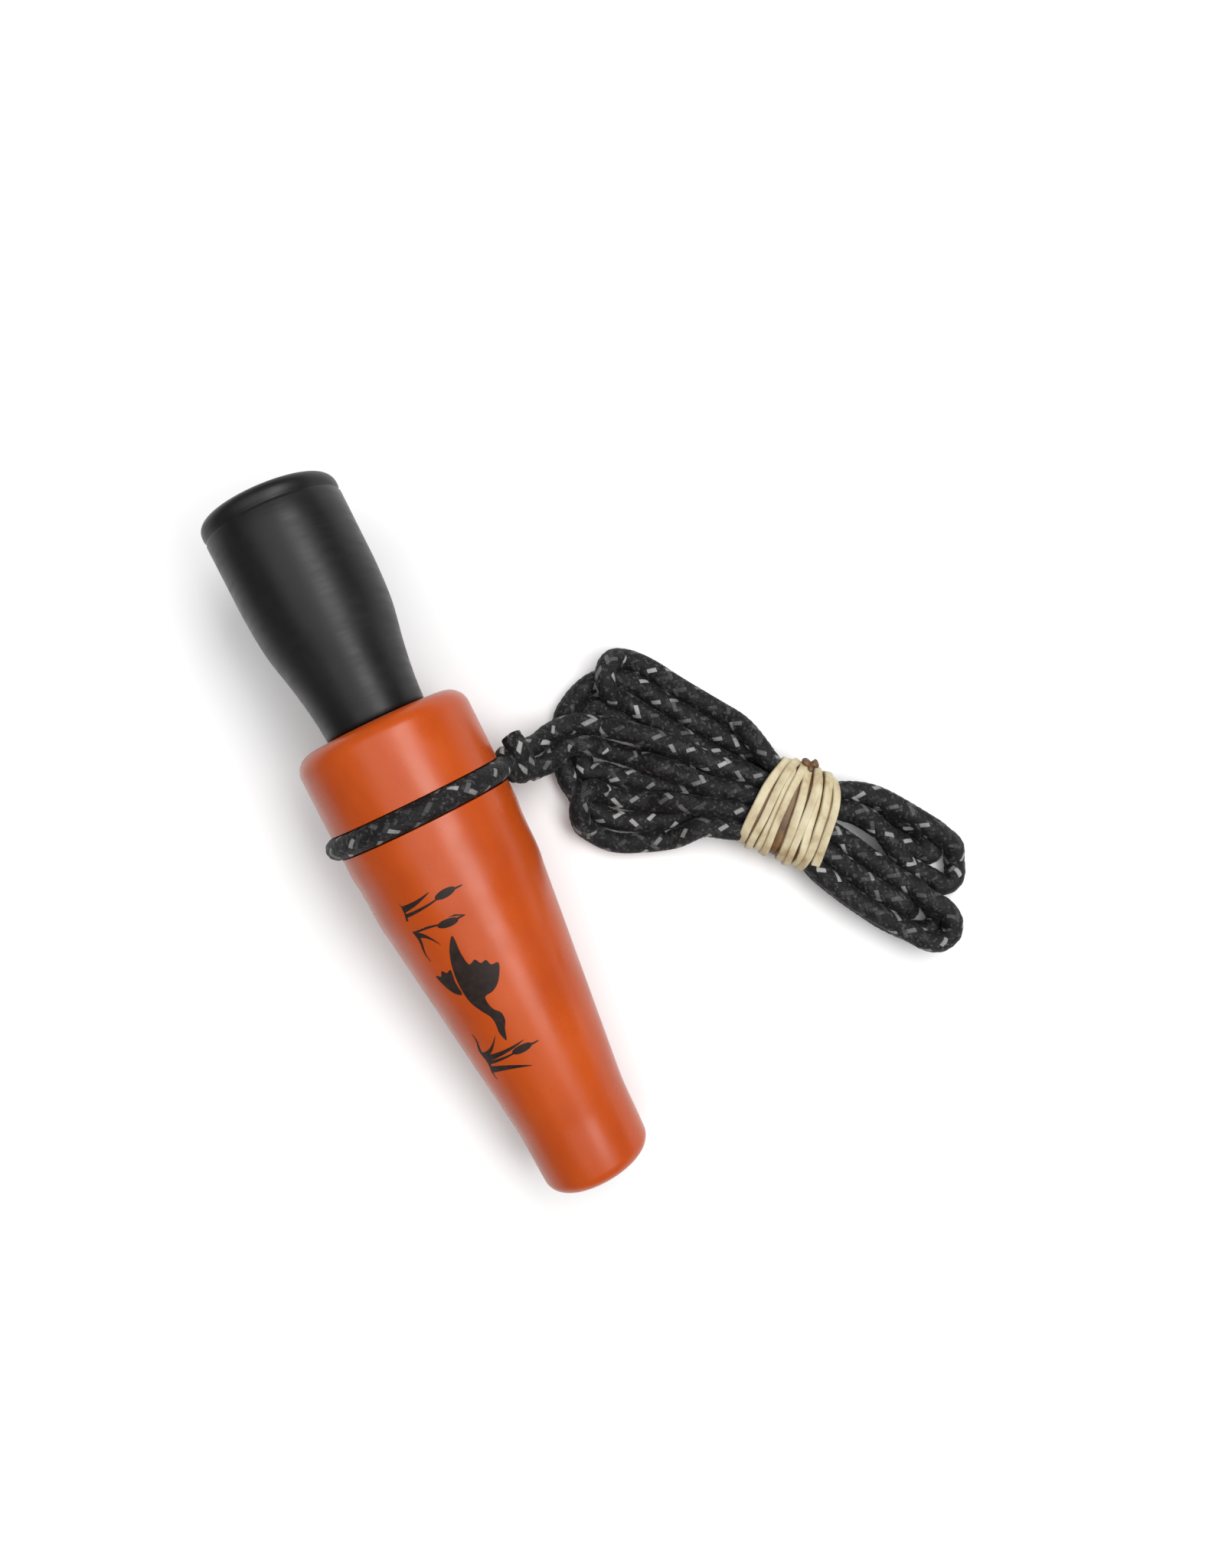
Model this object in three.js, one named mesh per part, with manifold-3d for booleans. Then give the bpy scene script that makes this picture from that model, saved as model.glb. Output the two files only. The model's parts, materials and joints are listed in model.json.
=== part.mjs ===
// Duck call with a neck lanyard, lying on a table on its lanyard loop and its mouth end.
//
// Units are millimetres, +Z is up and z = 0 is the table. The call's own axis runs along +X, from
// the exhaust end of the insert to the mouth end of the barrel, and dips towards the mouth. The
// origin is under the middle of the call's box. The lanyard's hank lies on the +Y side.
//
// Call coordinates: u is the distance from the exhaust face along the axis, r the radius.
// Hank coordinates: a runs along the hank, b across it, both from the middle of the rubber band.

import * as THREE from "three";
import { mergeVertices } from "three/addons/utils/BufferGeometryUtils.js";
import Module from "manifold-3d";

const wasm = await Module();
wasm.setup();

// ---------------------------------------------------------------- driving dimensions

const CALL_LENGTH = 132.3; // exhaust face to mouth face
const COLLAR_FACE = 42.2; // u of the barrel's wide end
const COLLAR_RADIUS = 16;
const COLLAR_EDGE = 3; // rounding of the collar's shoulder
const COLLAR_END = 64.8; // u where the collar's straight part ends
const BODY_START = 73.5; // u where the straight taper starts
const BODY_RADIUS = 15.6;
const TAPER_END = 119.6; // u where the taper meets the mouthpiece
const MOUTH_RADIUS = 10.5;
const LIP_START_RADIUS = 10.2; // the mouthpiece narrows to this where its lip rounds over
const LIP_RADIUS = 2.3; // rounding of the mouth's outer edge
const LIP_INNER = 0.7; // rounding of the mouth's inner edge

const BORE = 7.95; // barrel bore that the insert's tenon plugs into
const BORE_END = 107; // u where the bore starts to narrow
const MOUTH_BORE = 6.2;
const MOUTH_BORE_START = 110.5;

const CORD_DIAMETER = 4;
const CORD_RADIUS = CORD_DIAMETER / 2;
const LOOP_AT = 59; // u of the lanyard groove
const LOOP_RADIUS = 15.2; // centreline of the cord in the groove
const GROOVE_RADIUS = 2.3; // the groove's round section
const KNOT_DROP = THREE.MathUtils.degToRad(22); // the knot hangs this far below level
const KNOT_GAP = THREE.MathUtils.degToRad(10.5); // half the break in the loop, at the knot

const EXHAUST_RADIUS = 12.3;
const EXHAUST_EDGE = 1.6;
const BEAD_AT = 3.2; // u of the fine moulded line below the exhaust lip
const BEAD_DEPTH = 0.25;
const INSERT_SHOULDER = 41.9; // u of the face that meets the collar
const TENON_RADIUS = 7.45;
const TENON_END = 63.5;
const TENON_BORE = 4.7;
const RING_AT = { rear: 47.2, front: 57.6 }; // u of each O-ring
const RING_GROOVE_RADIUS = 5.9;
const RING_GROOVE_WIDTH = 2.3;
const RING_SECTION = 0.8;
const RING_RADIUS = 6.95;

const BOARD_RADIUS = 7.2;
const BOARD_START = 63.8;
const SPIGOT_START = 49;
const SPIGOT_RADIUS = 4.4;
const BLOCK_END = 75;
const TONGUE_END = 105;
const FLAT_HEIGHT = 1.6; // the reeds' seat above the axis
const FLAT_END = 80; // the tongue's top starts to fall away here
const TONGUE_FALL = 1.4;
const CHANNEL_RADIUS = 2.5;
const CHANNEL_HEIGHT = -1.3;
const CHANNEL_END = 96;
const SLOT_START = 66;
const SLOT_WIDTH = 9.4;
const SLOT_TOP = 4.9;

const REED_WIDTH = 8.8;
const REED_START = 67;
const REEDS = {
  reed_long: { end: 103.5, bottom: 1.85, thickness: 0.35 },
  reed_short: { end: 99.5, bottom: 2.3, thickness: 0.3 },
};
const WEDGE = { start: 67, end: 74.8, width: 8.6, bottom: 2.85, top: 4.7 };

const HANK_AT = { x: 23.4, y: 60.4 };
const HANK_TURN = THREE.MathUtils.degToRad(41.6);
const HANK_BOTTOM = 0.1;
const HANK_TOP = 8.6;
const BAND_HALF_LENGTH = 6.6;
const BAND_OUTER = { halfWidth: 9.6, bottom: 0.1, top: 9.9, corner: 3 };
const BAND_INNER = { halfWidth: 8.35, bottom: 1.3, top: 8.6, corner: 2 };
const TOUCH = 0.3; // gap between pieces that touch

// The two strands that run from the knot to the hank, as row points.
const LEAD_ROUTES = {
  lanyard_lead_a: [
    [-9.35, 21.9, 8.3],
    [-9.7, 23.8, 7.5],
    [-10.1, 25.5, 6.9],
  ],
  lanyard_lead_b: [
    [-5.25, 21.9, 8.3],
    [-5.3, 22.6, 8],
    [-5.35, 23.3, 7.65],
  ],
};

// The hank's outline from above: the folded ends fan out on the left of the band (a < 0), where the
// neck loop's bight lies open, and make two lobes on its right.
const HANK_OUTLINE = [
  [-5, 8.3],
  [-13, 11.8],
  [-22, 14.4],
  [-31, 16],
  [-38, 17],
  [-42.8, 15.4],
  [-44.8, 10],
  [-46.8, 3],
  [-46.5, -4],
  [-43, -12],
  [-37.5, -17.5],
  [-31, -19.4],
  [-24.5, -18],
  [-17, -13.2],
  [-10, -9.4],
  [0, -8.6],
  [6, -9.6],
  [13, -11.8],
  [22, -13.6],
  [30.5, -14.4],
  [36.4, -12.4],
  [38, -8.4],
  [35.6, -3.6],
  [34.6, 1.6],
  [31.6, 6],
  [26, 8.7],
  [18, 10.2],
  [11, 10.4],
  [4, 8.5],
];

const LATHE_SEGMENTS = 44;
const SMALL_LATHE_SEGMENTS = 28;

// ---------------------------------------------------------------- materials

function plastic(color, roughness) {
  return new THREE.MeshStandardMaterial({ color, roughness, metalness: 0 });
}

const MATERIALS = {
  barrel: plastic(0xd0562a, 0.25),
  insert: plastic(0x25262a, 0.42),
  board: plastic(0x3a3b3f, 0.5),
  reed: plastic(0xdfe3dc, 0.35),
  wedge: plastic(0xb08a5a, 0.9),
  rubber: plastic(0x141414, 0.7),
  cord: plastic(0x1c1c1d, 0.9),
  band: plastic(0xd8cba4, 0.6),
};

// ---------------------------------------------------------------- shape helpers

/** Round stretch of a profile: points [u, r] on a circle, from one angle to another in degrees. */
function arc(u, r, radius, from, to, steps) {
  const points = [];
  for (let i = 0; i <= steps; i += 1) {
    const angle = THREE.MathUtils.degToRad(from + ((to - from) * i) / steps);
    points.push([u + radius * Math.cos(angle), r + radius * Math.sin(angle)]);
  }
  return points;
}

/** Solid of revolution about the call's axis from a closed profile of [u, r] points. */
function turned(profile, segments = LATHE_SEGMENTS) {
  const points = profile.map(([u, r]) => new THREE.Vector2(r, u));
  points.push(points[0].clone());
  const geometry = new THREE.LatheGeometry(points, segments);
  return geometry.rotateZ(-Math.PI / 2);
}

/** Extrusion across the call (along Y) of an outline of [u, height] points. */
function slab(outline, width) {
  const shape = new THREE.Shape(outline.map(([u, z]) => new THREE.Vector2(u, z)));
  const geometry = new THREE.ExtrudeGeometry(shape, { depth: width, bevelEnabled: false });
  return geometry.translate(0, 0, -width / 2).rotateX(Math.PI / 2);
}

/** Box between two values of u, centred across the call, between two heights. */
function block(start, end, width, bottom, top) {
  const geometry = new THREE.BoxGeometry(end - start, width, top - bottom);
  return geometry.translate((start + end) / 2, 0, (bottom + top) / 2);
}

/** Round bar along the call's axis. */
function bar(start, end, radius, height = 0) {
  const geometry = new THREE.CylinderGeometry(radius, radius, end - start, SMALL_LATHE_SEGMENTS);
  return geometry.rotateZ(-Math.PI / 2).translate((start + end) / 2, 0, height);
}

/** Tube of round section along a curve. */
function tube(curve, radius, steps, sides) {
  const section = new THREE.Shape();
  section.absarc(0, 0, radius, 0, Math.PI * 2);
  return new THREE.ExtrudeGeometry(section, {
    extrudePath: curve,
    steps,
    curveSegments: sides,
    bevelEnabled: false,
  });
}

/** Rectangle with round corners, centred on x = 0, between two values of y. */
function roundedRectangle({ halfWidth, bottom, top, corner }) {
  const shape = new THREE.Shape();
  shape.moveTo(-halfWidth + corner, bottom);
  shape.lineTo(halfWidth - corner, bottom);
  shape.absarc(halfWidth - corner, bottom + corner, corner, -Math.PI / 2, 0);
  shape.lineTo(halfWidth, top - corner);
  shape.absarc(halfWidth - corner, top - corner, corner, 0, Math.PI / 2);
  shape.lineTo(-halfWidth + corner, top);
  shape.absarc(-halfWidth + corner, top - corner, corner, Math.PI / 2, Math.PI);
  shape.lineTo(-halfWidth, bottom + corner);
  shape.absarc(-halfWidth + corner, bottom + corner, corner, Math.PI, Math.PI * 1.5);
  return shape;
}

/** Closed geometry as a manifold solid. */
function solid(geometry) {
  const plain = geometry.clone();
  plain.deleteAttribute("normal");
  plain.deleteAttribute("uv");
  const merged = mergeVertices(plain, 1e-4);
  return new wasm.Manifold(
    new wasm.Mesh({
      numProp: 3,
      vertProperties: new Float32Array(merged.attributes.position.array),
      triVerts: new Uint32Array(merged.index.array),
    }),
  );
}

/** Manifold solid as a three.js geometry. */
function geometryOf(manifold) {
  const mesh = manifold.getMesh();
  const geometry = new THREE.BufferGeometry();
  geometry.setAttribute("position", new THREE.BufferAttribute(mesh.vertProperties, 3));
  geometry.setIndex(new THREE.BufferAttribute(mesh.triVerts, 1));
  geometry.computeVertexNormals();
  return geometry;
}

function addPiece(group, name, geometry, material) {
  const mesh = new THREE.Mesh(geometry, material);
  mesh.name = name;
  group.add(mesh);
  return mesh;
}

// ---------------------------------------------------------------- barrel

/** Orange barrel: wide collar with the lanyard groove, straight taper, and rounded mouthpiece. */
function barrelGeometry() {
  const grooveDepth = COLLAR_RADIUS - LOOP_RADIUS;
  const grooveRim = THREE.MathUtils.radToDeg(Math.asin(grooveDepth / GROOVE_RADIUS));
  const profile = [
    [COLLAR_FACE + 0.6, BORE],
    [COLLAR_FACE, BORE + 0.6],
    ...arc(COLLAR_FACE + COLLAR_EDGE, COLLAR_RADIUS - COLLAR_EDGE, COLLAR_EDGE, 180, 90, 5),
    ...arc(LOOP_AT, LOOP_RADIUS, GROOVE_RADIUS, 180 - grooveRim, 360 + grooveRim, 8),
    [COLLAR_END, COLLAR_RADIUS],
    [COLLAR_END + 2.4, COLLAR_RADIUS - 0.24],
    [COLLAR_END + 5, BODY_RADIUS + 0.04],
    [BODY_START, BODY_RADIUS],
    [BODY_START + 2.2, BODY_RADIUS - 0.15],
    [TAPER_END, MOUTH_RADIUS],
    ...arc(CALL_LENGTH - LIP_RADIUS, LIP_START_RADIUS - LIP_RADIUS, LIP_RADIUS, 90, 0, 5),
    ...arc(CALL_LENGTH - LIP_INNER, MOUTH_BORE + LIP_INNER, LIP_INNER, 0, -90, 3),
    [MOUTH_BORE_START, MOUTH_BORE],
    [BORE_END, BORE],
  ];
  return turned(profile);
}

// ---------------------------------------------------------------- insert and what it carries

/** O-ring groove in the tenon, as profile points in order of u. */
function ringGroove(at) {
  const half = RING_GROOVE_WIDTH / 2;
  return [
    [at - half, TENON_RADIUS],
    [at - half, RING_GROOVE_RADIUS],
    [at + half, RING_GROOVE_RADIUS],
    [at + half, TENON_RADIUS],
  ];
}

/** Black insert: flared exhaust bell, waist at the collar, and the tenon that plugs the barrel. */
function insertGeometry() {
  const bell = [
    [16, EXHAUST_RADIUS],
    [20.5, 12.12],
    [24.5, 11.75],
    [27.5, 11.2],
    [30, 10.68],
    [33, 10.14],
    [36, 9.7],
    [39, 9.37],
    [INSERT_SHOULDER - 0.3, 9.2],
    [INSERT_SHOULDER, 8.9],
  ];
  const exhaustBore = [
    [42, TENON_BORE],
    [30, 5.2],
    [18, 6.4],
    [7, 8],
    [1.2, 9.15],
    [0, 9.5],
  ];
  const profile = [
    ...arc(EXHAUST_EDGE, EXHAUST_RADIUS - EXHAUST_EDGE, EXHAUST_EDGE, 180, 90, 4),
    [BEAD_AT - 0.45, EXHAUST_RADIUS],
    [BEAD_AT, EXHAUST_RADIUS - BEAD_DEPTH],
    [BEAD_AT + 0.45, EXHAUST_RADIUS],
    ...bell,
    [INSERT_SHOULDER, TENON_RADIUS],
    ...ringGroove(RING_AT.rear),
    ...ringGroove(RING_AT.front),
    [TENON_END - 0.6, TENON_RADIUS],
    [TENON_END, TENON_RADIUS - 0.6],
    [TENON_END, TENON_BORE],
    ...exhaustBore,
  ];
  return turned(profile);
}

/** Rubber O-ring in its groove on the tenon. */
function ringGeometry(at) {
  return turned(arc(at, RING_RADIUS, RING_SECTION, 360, 45, 7), SMALL_LATHE_SEGMENTS);
}

/** Tone board: spigot, reed block with its wedge slot, and the tongue with the tone channel. */
function toneBoardGeometry() {
  const top = [];
  const steps = 8;
  for (let i = steps; i >= 0; i -= 1) {
    const share = i / steps;
    const u = FLAT_END + (TONGUE_END - FLAT_END) * share;
    top.push([u, FLAT_HEIGHT - TONGUE_FALL * share * share]);
  }
  const side = [
    [BOARD_START, -BOARD_RADIUS],
    [BLOCK_END + 4, -BOARD_RADIUS],
    [TONGUE_END - 1, -4.4],
    [TONGUE_END, -3.4],
    ...top,
    [BLOCK_END, FLAT_HEIGHT],
    [BLOCK_END, BOARD_RADIUS],
    [BOARD_START, BOARD_RADIUS],
  ];
  const body = solid(slab(side, 2 * BOARD_RADIUS + 2));
  const round = solid(bar(BOARD_START - 1, TONGUE_END + 1, BOARD_RADIUS));
  const spigot = solid(bar(SPIGOT_START, BOARD_START + 1, SPIGOT_RADIUS));
  const slot = solid(block(SLOT_START, BLOCK_END + 1, SLOT_WIDTH, FLAT_HEIGHT, SLOT_TOP));
  const hole = solid(bar(SPIGOT_START - 1, CHANNEL_END, CHANNEL_RADIUS, CHANNEL_HEIGHT));
  const trough = solid(
    block(BLOCK_END + 1, CHANNEL_END, 2 * CHANNEL_RADIUS, CHANNEL_HEIGHT, BOARD_RADIUS),
  );
  const board = body.intersect(round).add(spigot);
  return geometryOf(board.subtract(slot).subtract(hole).subtract(trough));
}

/** Flat reed with a rounded tip, its rear end under the wedge. */
function reedGeometry({ end, bottom, thickness }) {
  const half = REED_WIDTH / 2;
  const tip = 3;
  const shape = new THREE.Shape();
  shape.moveTo(REED_START, -half);
  shape.lineTo(end - tip, -half);
  shape.absarc(end - tip, -half + tip, tip, -Math.PI / 2, 0);
  shape.lineTo(end, half - tip);
  shape.absarc(end - tip, half - tip, tip, 0, Math.PI / 2);
  shape.lineTo(REED_START, half);
  const geometry = new THREE.ExtrudeGeometry(shape, {
    depth: thickness,
    bevelEnabled: false,
    curveSegments: 5,
  });
  return geometry.translate(0, 0, bottom);
}

/** Cork wedge that clamps the reeds in the slot; its front edge is cut back at the top. */
function wedgeGeometry() {
  const outline = [
    [WEDGE.start, WEDGE.bottom],
    [WEDGE.end, WEDGE.bottom],
    [WEDGE.end, WEDGE.bottom + 0.9],
    [WEDGE.end - 0.9, WEDGE.top],
    [WEDGE.start, WEDGE.top],
  ];
  return slab(outline, WEDGE.width);
}

// ---------------------------------------------------------------- lanyard

/** Arc of the cord in its groove, from one side of the knot round to the other. */
class LoopCurve extends THREE.Curve {
  getPoint(share) {
    const angle = KNOT_GAP - KNOT_DROP + (2 * Math.PI - 2 * KNOT_GAP) * share;
    return new THREE.Vector3(LOOP_AT, LOOP_RADIUS * Math.cos(angle), LOOP_RADIUS * Math.sin(angle));
  }
}

/** Slip knot: a neck between the loop's ends, the round lump, and one short cut end. */
function knotGeometry() {
  const neck = 1.6;
  const lump = 3.9;
  const cutLength = 5.6;
  const profile = [
    [14.4, 0],
    [14.4, neck],
    [16.6, neck],
    [17.6, 3],
    [18.8, lump],
    [21.4, lump],
    [22.9, 3],
    [23.4, 0],
  ].map(([distance, r]) => new THREE.Vector2(r, distance));
  const body = solid(new THREE.LatheGeometry(profile, 16));
  const cutEnd = new THREE.CylinderGeometry(1.8, 1.8, cutLength, 12);
  cutEnd.rotateZ(Math.PI / 2).translate(-cutLength / 2, 20, 0.6);
  const knot = geometryOf(body.add(solid(cutEnd)));
  return knot.rotateX(-KNOT_DROP).translate(LOOP_AT, 0, 0);
}

/** The hank's outline, raised from the table, with a waist where the band goes round it. */
function hankGeometry() {
  const outline = new THREE.CatmullRomCurve3(
    HANK_OUTLINE.map(([a, b]) => new THREE.Vector3(a, b, 0)),
    true,
    "catmullrom",
    0.5,
  );
  const points = outline.getPoints(HANK_OUTLINE.length * 2).slice(0, -1);
  const shape = new THREE.Shape(points.map((p) => new THREE.Vector2(p.x, p.y)));
  const raised = new THREE.ExtrudeGeometry(shape, {
    depth: HANK_TOP - HANK_BOTTOM,
    bevelEnabled: false,
  }).translate(0, 0, HANK_BOTTOM);
  const waist = {
    halfWidth: BAND_INNER.halfWidth - TOUCH,
    bottom: BAND_INNER.bottom + TOUCH,
    top: BAND_INNER.top - TOUCH,
    corner: BAND_INNER.corner,
  };
  const outside = { halfWidth: 30, bottom: -5, top: 20, corner: 1 };
  const room = bandGeometry(outside, waist, BAND_HALF_LENGTH + TOUCH);
  return geometryOf(solid(raised).subtract(solid(room)));
}

/** Flat ring about the hank's axis, between two rounded rectangles. */
function bandGeometry(outer, inner, halfLength) {
  const shape = roundedRectangle(outer);
  shape.holes.push(roundedRectangle(inner));
  const geometry = new THREE.ExtrudeGeometry(shape, {
    depth: 2 * halfLength,
    bevelEnabled: false,
    curveSegments: 4,
  });
  return geometry.translate(0, 0, -halfLength).rotateX(Math.PI / 2).rotateZ(Math.PI / 2);
}

// ---------------------------------------------------------------- assembly

const call = new THREE.Group();
addPiece(call, "barrel", barrelGeometry(), MATERIALS.barrel);
addPiece(call, "insert", insertGeometry(), MATERIALS.insert);
addPiece(call, "o_ring_rear", ringGeometry(RING_AT.rear), MATERIALS.rubber);
addPiece(call, "o_ring_front", ringGeometry(RING_AT.front), MATERIALS.rubber);
addPiece(call, "tone_board", toneBoardGeometry(), MATERIALS.board);
for (const [name, reed] of Object.entries(REEDS)) {
  addPiece(call, name, reedGeometry(reed), MATERIALS.reed);
}
addPiece(call, "wedge_block", wedgeGeometry(), MATERIALS.wedge);
addPiece(call, "lanyard_loop", tube(new LoopCurve(), CORD_RADIUS, 44, 5), MATERIALS.cord);

// The table touches the round section of the loop and the round lip of the mouth, and that line
// sets the call's dip.
const lipReach = CALL_LENGTH - LIP_RADIUS - LOOP_AT;
const lipDrop = LOOP_RADIUS - (LIP_START_RADIUS - LIP_RADIUS);
const dip = Math.atan2(lipDrop, lipReach)
  - Math.asin((LIP_RADIUS - CORD_RADIUS) / Math.hypot(lipReach, lipDrop));
call.rotation.y = dip;
call.updateMatrixWorld(true);
const reach = new THREE.Box3().setFromObject(call, true);
call.position.set(-(reach.min.x + reach.max.x) / 2, 0, -reach.min.z);
addPiece(call, "lanyard_knot", knotGeometry(), MATERIALS.cord);

const hank = new THREE.Group();
addPiece(hank, "lanyard_hank", hankGeometry(), MATERIALS.cord);
addPiece(
  hank,
  "hank_band",
  bandGeometry(BAND_OUTER, BAND_INNER, BAND_HALF_LENGTH),
  MATERIALS.band,
);
hank.position.set(HANK_AT.x, HANK_AT.y, 0);
hank.rotation.z = HANK_TURN;

const group = new THREE.Group();
group.add(call);
group.add(hank);
for (const [name, route] of Object.entries(LEAD_ROUTES)) {
  const curve = new THREE.CatmullRomCurve3(route.map((p) => new THREE.Vector3(...p)));
  addPiece(group, name, tube(curve, CORD_RADIUS, 3, 5), MATERIALS.cord);
}

export default group;
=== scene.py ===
"""Looks of a duck call and its lanyard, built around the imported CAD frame.

Everything is worked out in millimetres and scaled to metres when a mesh is made. Three sets of
coordinates are used: row coordinates (the frame's own), call coordinates (u along the call from
its exhaust face, then across, then up) and hank coordinates (a along the hank, b across it).
"""

import json
import math

import bmesh
import bpy
import numpy as np
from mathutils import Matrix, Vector


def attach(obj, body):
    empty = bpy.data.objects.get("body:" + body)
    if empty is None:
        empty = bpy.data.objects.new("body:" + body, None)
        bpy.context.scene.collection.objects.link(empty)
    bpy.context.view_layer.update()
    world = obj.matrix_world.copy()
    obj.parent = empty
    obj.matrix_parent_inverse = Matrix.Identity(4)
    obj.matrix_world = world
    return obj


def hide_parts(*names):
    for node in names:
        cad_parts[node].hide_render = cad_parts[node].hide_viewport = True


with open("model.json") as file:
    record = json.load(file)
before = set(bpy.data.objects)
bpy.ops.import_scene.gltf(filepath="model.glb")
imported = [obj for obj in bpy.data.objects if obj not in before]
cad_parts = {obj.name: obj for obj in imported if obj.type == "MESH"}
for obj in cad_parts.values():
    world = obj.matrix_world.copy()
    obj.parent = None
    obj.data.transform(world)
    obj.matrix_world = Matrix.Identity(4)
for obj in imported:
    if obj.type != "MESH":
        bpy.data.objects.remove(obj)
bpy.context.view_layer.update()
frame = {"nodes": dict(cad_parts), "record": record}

MM = 0.001
CREASE_ANGLE = math.radians(35)  # faces that meet at more than this are shaded with a crisp edge
SHARP_ANGLE = math.radians(40)  # edges of the CAD's inner parts sharper than this are eased

# ------------------------ driving dimensions, in mm

CALL_LENGTH = 132.3
COLLAR_FACE = 42.2  # u of the face that the insert meets
COLLAR_RADIUS = 16.0
COLLAR_EDGE = 3.6
COLLAR_STATIONS = (48.0, 51.5, 54.5)  # u of points along it before the groove
COLLAR_END = 64.8  # u where the collar's straight part ends
BODY_START = 73.5  # u where the straight taper starts
BODY_RADIUS = 15.6
TAPER_END = 119.6  # u where the taper meets the mouthpiece
MOUTH_RADIUS = 10.5
LIP_START_RADIUS = 10.2  # the mouthpiece narrows to this where its lip rounds over
LIP_RADIUS = 2.8
LIP_INNER = 0.7
BORE = 7.95
BORE_EDGE = 0.6
BORE_END = 107.0  # u where the bore starts to narrow
MOUTH_BORE = 6.2
MOUTH_BORE_START = 110.5

EXHAUST_RADIUS = 12.3
EXHAUST_EDGE = 2.1
EXHAUST_RIM = 10.1  # radius of the middle of the flat rim
BEAD_AT = 3.2  # u of the fine line below the exhaust's lip
BEAD_DEPTH = 0.25
BELL_END = 16.0  # u where the insert starts to narrow
INSERT_TAPER = [  # (u, radius) from there to the shoulder
    (20.5, 12.12), (24.5, 11.75), (27.5, 11.2), (30.0, 10.68), (33.0, 10.14), (36.0, 9.7),
    (39.0, 9.37),
]
INSERT_SHOULDER = 41.9  # u of the face that meets the collar
SHOULDER_RADIUS = 9.2
TENON_RADIUS = 7.45
TENON_END = 63.5
TENON_EDGE = 0.6
TENON_BORE = 4.7
EXHAUST_FLARE = [(30.0, 5.2), (18.0, 6.4), (7.0, 8.0), (1.2, 9.15)]  # (u, radius) of the bore
EXHAUST_LIP = [(0.5, 9.28), (0.15, 9.42), (0.0, 9.6)]
RINGS = {"o_ring_rear": 47.2, "o_ring_front": 57.6}  # u of each O-ring
RING_GROOVE_RADIUS = 5.9
RING_GROOVE_WIDTH = 2.3
RING_SECTION = 0.8
RING_RADIUS = 6.95

CORD_DIAMETER = 4.0
CORD_RADIUS = CORD_DIAMETER / 2
CARRIERS = 10  # yarns in each direction round the cord
LOOP_AT = 59.0  # u of the lanyard groove
LOOP_RADIUS = 15.2
LOOP_SAG = 0.8  # how far the loop stands off its groove opposite the knot
GROOVE_RADIUS = 2.3
GROOVE_END = 62.6  # u past the groove where the collar is straight again
KNOT_DROP = math.radians(22)  # the knot hangs this far below level
KNOT_SLIP = 0.6  # how far the knot has slipped towards the mouth
KNOT_INNER = 16.4
KNOT_OUTER = 23.2

HANK_AT = Vector((23.4, 60.4, 0.0))
HANK_TURN = math.radians(41.6)
BAND_COLUMN = 3.05  # between the five columns of strands under the band
BAND_LOW = 2.6  # heights of the two layers of strands under the band
BAND_HIGH = 5.75
BAND_SQUEEZE = 0.2  # share of the cord's diameter lost under the band

# ------------------------ coordinates

MOUNTS = {mount["name"]: mount for mount in frame["record"]["mounts"]}
AXIS = -Vector(MOUNTS["exhaust_rim"]["axis"]).normalized()
SIDE = Vector((0, 1, 0))
UP = AXIS.cross(SIDE)
CALL_AT = Vector(MOUNTS["exhaust_rim"]["pos_m"]) / MM - UP * EXHAUST_RIM


def from_call(u, across, up):
    """Row point, in mm, of a point in call coordinates."""
    return CALL_AT + AXIS * u + SIDE * across + UP * up


def from_hank(a, b, z):
    """Row point, in mm, of a point in hank coordinates."""
    c, s = math.cos(HANK_TURN), math.sin(HANK_TURN)
    return Vector((HANK_AT.x + a * c - b * s, HANK_AT.y + a * s + b * c, z))


# ------------------------ camera

CAMERA_AT = Vector((4.05, 32.4, 207.0))
IMAGE_RIGHT = Vector((0.4364, 0.9000, 0)).normalized()  # the picture's right, on the table
FOCAL = 24.63
SENSOR = 36.0


def make_camera():
    """Looks straight down, with the call running from the upper left to the lower right."""
    data = bpy.data.cameras.new("camera")
    data.sensor_fit = "VERTICAL"
    data.sensor_height = SENSOR
    data.lens = FOCAL
    data.clip_start = 0.01
    camera = bpy.data.objects.new("camera", data)
    image_up = Vector((-IMAGE_RIGHT.y, IMAGE_RIGHT.x, 0))
    rotation = np.array([IMAGE_RIGHT, image_up, (0, 0, 1)]).T
    camera.matrix_world = Matrix(rotation.tolist()).to_4x4()
    camera.location = CAMERA_AT * MM
    bpy.context.scene.collection.objects.link(camera)
    bpy.context.scene.camera = camera


make_camera()

# ------------------------ node helpers


def new_material(name):
    """A material, its node tree and its shader."""
    material = bpy.data.materials.new(name)
    material.use_nodes = True
    tree = material.node_tree
    return material, tree, tree.nodes["Principled BSDF"]


def node(tree, kind, inputs=None, **settings):
    """New node with its settings and the values of its inputs."""
    made = tree.nodes.new(kind)
    for key, value in settings.items():
        setattr(made, key, value)
    for key, value in (inputs or {}).items():
        made.inputs[key].default_value = value
    return made


def mapped_noise(tree, scale, detail=3.0, stretch=(1, 1, 1)):
    """Noise in object coordinates, scale in features per metre."""
    coords = node(tree, "ShaderNodeTexCoord")
    mapping = node(tree, "ShaderNodeMapping", {"Scale": stretch})
    made = node(tree, "ShaderNodeTexNoise", {"Scale": scale, "Detail": detail, "Roughness": 0.55})
    tree.links.new(coords.outputs["Object"], mapping.inputs["Vector"])
    tree.links.new(mapping.outputs["Vector"], made.inputs["Vector"])
    return made.outputs["Fac"]


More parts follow.
